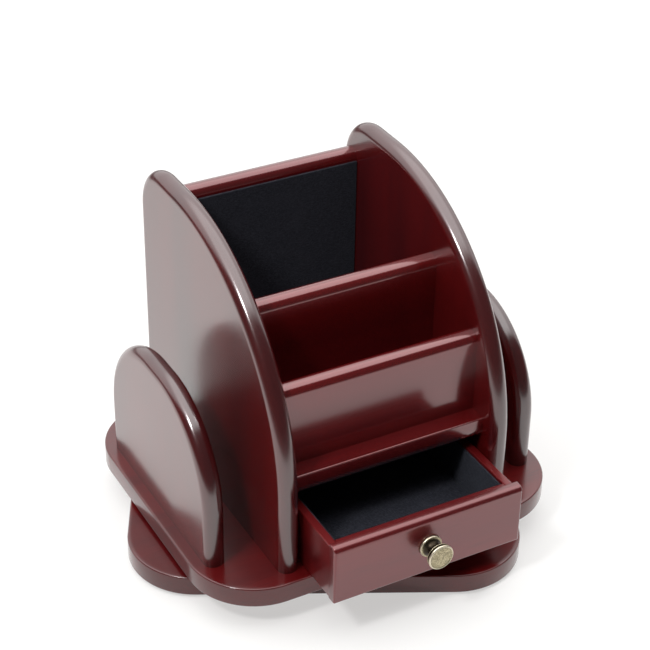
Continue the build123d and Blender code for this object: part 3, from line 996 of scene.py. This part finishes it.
@dataclass
class Knob:
    """The turned knob: a flange, a waisted neck and a head with a bead, a groove and a rimmed face."""

    sides: int = 72
    sharp: float = 50.0
    # distance out from the drawer front, radius and wear, in order along the profile
    profile: tuple[tuple[float, float, float], ...] = (
        (0.00, 0.01, 0.0),
        (0.00, 5.00, 0.1),
        (0.10, 5.25, 0.5),
        (0.30, 5.40, 0.9),
        (0.75, 5.40, 1.0),
        (1.10, 5.30, 1.0),
        (1.40, 5.05, 0.8),
        (1.50, 4.75, 0.4),
        (1.55, 4.35, 0.15),
        (1.75, 3.95, 0.06),
        (2.15, 3.55, 0.03),
        (2.80, 3.15, 0.03),
        (3.60, 2.93, 0.05),
        (4.40, 2.90, 0.05),
        (5.20, 2.98, 0.03),
        (6.00, 3.25, 0.02),
        (6.60, 3.70, 0.02),
        (6.75, 4.30, 0.05),
        (6.85, 4.90, 0.10),
        (6.95, 5.40, 0.3),
        (7.10, 5.75, 0.8),
        (7.30, 5.86, 1.0),
        (7.46, 5.80, 0.6),
        (7.55, 5.50, 0.0),
        (7.62, 4.95, 0.0),
        (8.20, 4.95, 0.0),
        (8.28, 5.45, 0.0),
        (8.38, 5.90, 0.3),
        (8.60, 6.08, 0.8),
        (8.95, 6.10, 1.0),
        (9.25, 6.02, 1.0),
        (9.50, 5.80, 1.0),
        (9.60, 5.55, 1.0),
        (9.56, 5.36, 0.7),
        (9.45, 5.22, 0.25),
        (9.38, 5.00, 0.35),
        (9.40, 3.50, 0.6),
        (9.44, 2.00, 0.6),
        (9.46, 0.01, 0.6),
    )

    def build(self, finishes: Finishes) -> bpy.types.Object:
        """Makes the knob.

        A profile of distance and radius is smoothed and turned about an axis along Y: x is the radius
        times the cosine of the angle and z the radius times its sine.

        Args:
            finishes: the finishes.

        Returns:
            The piece.
        """
        low, high = extent("knob")
        middle = (low + high) / 2
        rows = np.array(self.profile)
        place = np.arange(len(rows))
        fine = np.linspace(0, len(rows) - 1, 4 * len(rows) - 3)
        rows = np.stack([np.interp(fine, place, rows[:, column]) for column in range(3)], axis=-1)
        smooth = rows.copy()
        smooth[1:-1] = rows[:-2] * 0.25 + rows[1:-1] * 0.5 + rows[2:] * 0.25
        angle = np.arange(self.sides) * 2 * np.pi / self.sides
        rings = np.empty((len(smooth), self.sides, 3))
        rings[..., 0] = middle[0] + smooth[:, 1, None] * np.cos(angle)
        rings[..., 1] = high[1] - smooth[:, 0, None]
        rings[..., 2] = middle[2] + smooth[:, 1, None] * np.sin(angle)
        piece = solid("knob_turned", rings, smooth[:, 2], self.sharp)
        return settle(piece, "drawer", "knob", finishes.brass)


@dataclass
class Base:
    """The base board that stays on the desk, its felt and the lower half of the swivel bearing."""

    turn: float = -26.7
    felt_inset: float = 3.0

    def build(self, finishes: Finishes) -> None:
        """Makes the base's pieces.

        Args:
            finishes: the finishes.
        """
        board = Plinth("base_board", "base", self.turn)
        board.build(finishes)
        size = (board.length - 2 * self.felt_inset, board.depth - 2 * self.felt_inset)
        corner = board.corner - self.felt_inset
        felt = ("underside_felt", "base", Axis.Z, "laid", "base_board_lacquered")
        FeltSheet(*felt, corner, self.turn, size).build(finishes)
        steel = ("lower_bearing_plate", "lower_bearing_screws", "pivot_rivet")
        finishes.dress_inner("base", steel, finishes.steel)
        finishes.dress_inner("ball_ring", ("ball_cage", "bearing_balls"), finishes.steel)


@dataclass
class Carousel:
    """What turns: the deck board, side panels, wings, shelf and upright boards, with the pen bay's felt."""

    # front and rear radius of an arch
    panel_arch: tuple[float, float] = (103.5, 22.6)
    wing_arch: tuple[float, float] = (48.0, 47.0)
    round_over: float = 4.7
    shelf_nose: float = 5.8
    shelf_arris: float = 0.6

    def build(self, finishes: Finishes) -> None:
        """Makes the carousel's pieces.

        Args:
            finishes: the finishes.
        """
        Plinth("deck_board", "carousel").build(finishes)
        for side in ("left", "right"):
            ArchedBoard(f"{side}_side_panel", *self.panel_arch).build(finishes)
            ArchedBoard(f"{side}_wing", *self.wing_arch).build(finishes)
        shelf = (self.shelf_nose, 0.0, 0.0, self.shelf_arris)
        CrossBoard("shelf_board", shelf, (14, 1, 1, 5)).build(finishes)
        upright = (0.0, 0.0, self.round_over, self.round_over)
        for node in ("card_board", "pen_divider", "back_board"):
            CrossBoard(node, upright, (1, 1, 16, 16)).build(finishes)
        linings = (
            ("floor", Axis.Z, "laid", "shelf_board_lacquered"),
            ("back", Axis.Y, "stretched", "back_board_lacquered"),
        )
        for place, axis, held, board in linings:
            FeltSheet(f"pen_bay_{place}_lining", "carousel", axis, held, board).build(finishes)
        steel = ("upper_bearing_plate", "upper_bearing_screws", "side_panel_screws", "wing_screws")
        finishes.dress_inner("carousel", steel, finishes.steel)
        dowels = ("shelf_dowels", "card_board_dowels", "pen_divider_dowels", "back_board_dowels")
        finishes.dress_inner("carousel", dowels, finishes.beech)


@dataclass
class Studio:
    """A pale floor with painted shade far out, a small lamp at the left, a dim room with one large soft
    box, the camera.
    """

    camera_place: Place = (-0.33383, -0.60316, 0.53528)
    yaw: float = -29.01
    pitch: float = -32.57
    roll: float = 0.96
    focal_pixels: float = 1809.94
    sensor_width: float = 36.0
    clip: tuple[float, float] = (0.01, 100.0)
    floor_half: float = 30.0
    floor_lines: int = 41
    floor_middles: tuple[Place, Place] = ((0.15, 0.25, 0.0), (-0.01, 0.02, 0.0))
    # near the object the floor's own pale colour; far out a dark colour that paints the shade of light
    # falling off
    floor_near: Colour = (0.790, 0.785, 0.775)
    floor_far_shade: Colour = (0.10, 0.10, 0.10)
    floor_shade_fade: Band = (0.43, 0.60)
    floor_white: float = 1.27
    shadow_lift: float = 0.54
    key_place: Place = (-0.84, -0.36, 1.19)
    key_target: Place = (0.0, 0.0, 0.06)
    key_size: tuple[float, float] = (0.18, 0.18)
    key_radiance: float = 88.0
    room_dim: float = 0.075
    # the soft box's level at the horizon and from box_height up, and what is added to it overhead
    box_low: float = 1.05
    box_high: float = 1.40
    box_height: float = 0.57
    box_top: float = 1.25
    box_top_band: Band = (0.60, 0.85)
    # normal of each plane that bounds the soft box, and half the width of its soft edge
    box_planes: tuple[tuple[Place, float], ...] = (
        ((-0.05, 0.885, 0.463), 0.07),
        ((0.541, 0.645, 0.541), 0.09),
        ((0.25, 0.20, 0.947), 0.08),
    )

    def floor(self) -> None:
        """Lays the floor: a flat grid whose lines crowd towards the object, by a cubed step.

        Its colour fades from near to far with the distance to the nearer of two middles, painted shade that
        stands in for light falling off away from the object. Where it is looked at, directly, in a
        reflection or through something clear, a share of it shines by itself, which keeps the object's
        shadow light.
        """
        step = np.linspace(-1, 1, self.floor_lines)
        line = self.floor_half * step**3
        u, v = np.meshgrid(line, line)
        points = np.stack([u, v, np.zeros_like(u)], axis=-1).reshape(-1, 3)
        index = np.arange(points.shape[0]).reshape(u.shape)
        quads = np.stack([index[:-1, :-1], index[:-1, 1:], index[1:, 1:], index[1:, :-1]], axis=-1)
        mesh = bpy.data.meshes.new("floor")
        mesh.from_pydata(points.tolist(), [], quads.reshape(-1, 4).tolist())
        floor = bpy.data.objects.new("floor", mesh)
        bpy.context.scene.collection.objects.link(floor)
        recipe = Recipe("floor_pale")
        even = recipe.place()
        offsets = [
            recipe.add("VectorMath", {0: even, 1: middle}, operation="DISTANCE").outputs["Value"]
            for middle in self.floor_middles
        ]
        offset = recipe.add("Math", {0: offsets[0], 1: offsets[1]}, operation="MINIMUM").outputs["Value"]
        # painted shade: the floor darkens far from the object
        colour = recipe.mix(recipe.ramp(offset, self.floor_shade_fade), self.floor_near, self.floor_far_shade)
        matt = recipe.add(
            "BsdfPrincipled", {"Base Color": colour, "Roughness": 0.9, "Specular IOR Level": 0.0}
        )
        white = recipe.add("Emission", {"Color": colour, "Strength": self.floor_white})
        ray = recipe.add("LightPath").outputs
        seen = recipe.larger(ray["Is Camera Ray"], ray["Is Glossy Ray"])
        seen = recipe.larger(seen, ray["Is Transmission Ray"])
        share = recipe.scaled(seen, self.shadow_lift)
        both = recipe.add("MixShader", {0: share, 1: matt.outputs["BSDF"], 2: white.outputs["Emission"]})
        recipe.add("OutputMaterial", {"Surface": both.outputs["Shader"]})
        mesh.materials.append(recipe.made)

    def key(self) -> None:
        """Hangs the lamp at the left, facing its target.

        It looks equally bright from every side in front of it: its power is the brightness of its face
        times pi and its area.
        """
        lamp = bpy.data.lights.new("key", "AREA")
        lamp.shape = "RECTANGLE"
        width, height = self.key_size
        lamp.size, lamp.size_y = width, height
        lamp.energy = self.key_radiance * np.pi * width * height
        holder = bpy.data.objects.new("key", lamp)
        holder.location = self.key_place
        way = Vector(self.key_target) - Vector(self.key_place)
        holder.rotation_euler = way.to_track_quat("-Z", "Y").to_euler()
        bpy.context.scene.collection.objects.link(holder)

    def room(self) -> None:
        """Lights the room with one large soft box overhead that runs down behind the object to the floor.

        Its light is the product of three soft steps, each of the distance from a tilted plane, times a
        level that rises with height. Outside it the room is dim.
        """
        world = bpy.data.worlds.new("room")
        recipe = Recipe("room", world)
        way = recipe.add("TexCoord").outputs["Generated"]
        height = recipe.add("SeparateXYZ", {"Vector": way}).outputs["Z"]
        inside = None
        for normal, blur in self.box_planes:
            side = recipe.add("VectorMath", {0: way, 1: normal}, operation="DOT_PRODUCT").outputs["Value"]
            step = recipe.ramp(side, (-blur, blur))
            inside = step if inside is None else recipe.scaled(inside, step)
        level = recipe.between(height, self.box_low, self.box_high, self.box_height)
        overhead = recipe.scaled(recipe.ramp(height, self.box_top_band), self.box_top)
        level = recipe.total(level, overhead)
        strength = recipe.total(recipe.scaled(inside, level), self.room_dim)
        light = recipe.add("Background", {"Color": (1.0, 1.0, 1.0, 1.0), "Strength": strength})
        recipe.add("OutputWorld", {"Surface": light.outputs["Background"]})
        bpy.context.scene.world = world

    def camera(self) -> None:
        """Sets the camera at the photograph's viewing angle."""
        yaw, pitch, roll = radians(self.yaw), radians(self.pitch), radians(self.roll)
        forward = Vector((-sin(yaw) * cos(pitch), cos(yaw) * cos(pitch), sin(pitch)))
        level = Vector((cos(yaw), sin(yaw), 0.0))
        up = level.cross(forward)
        right = level * cos(roll) + up * sin(roll)
        up = up * cos(roll) - level * sin(roll)
        camera = bpy.data.cameras.new("photo_camera")
        camera.sensor_width = self.sensor_width
        camera.lens = self.sensor_width * self.focal_pixels / PHOTO_PIXELS
        camera.clip_start, camera.clip_end = self.clip
        holder = bpy.data.objects.new("photo_camera", camera)
        turn = Matrix((right, up, -forward)).transposed().to_4x4()
        holder.matrix_world = Matrix.Translation(self.camera_place) @ turn
        bpy.context.scene.collection.objects.link(holder)
        bpy.context.scene.camera = holder

    def build(self) -> None:
        """Sets up the floor, the room, the lamp and the camera."""
        self.floor()
        self.room()
        self.key()
        self.camera()
        view = bpy.context.scene.view_settings
        view.view_transform = "Standard"


def main() -> None:
    """Builds the caddy in order and reports each piece."""
    logging.basicConfig(level=logging.INFO, format="%(message)s")
    finishes = Finishes()
    Base().build(finishes)
    Carousel().build(finishes)
    Drawer().build(finishes)
    Studio().build()


if __name__ == "__main__":
    main()
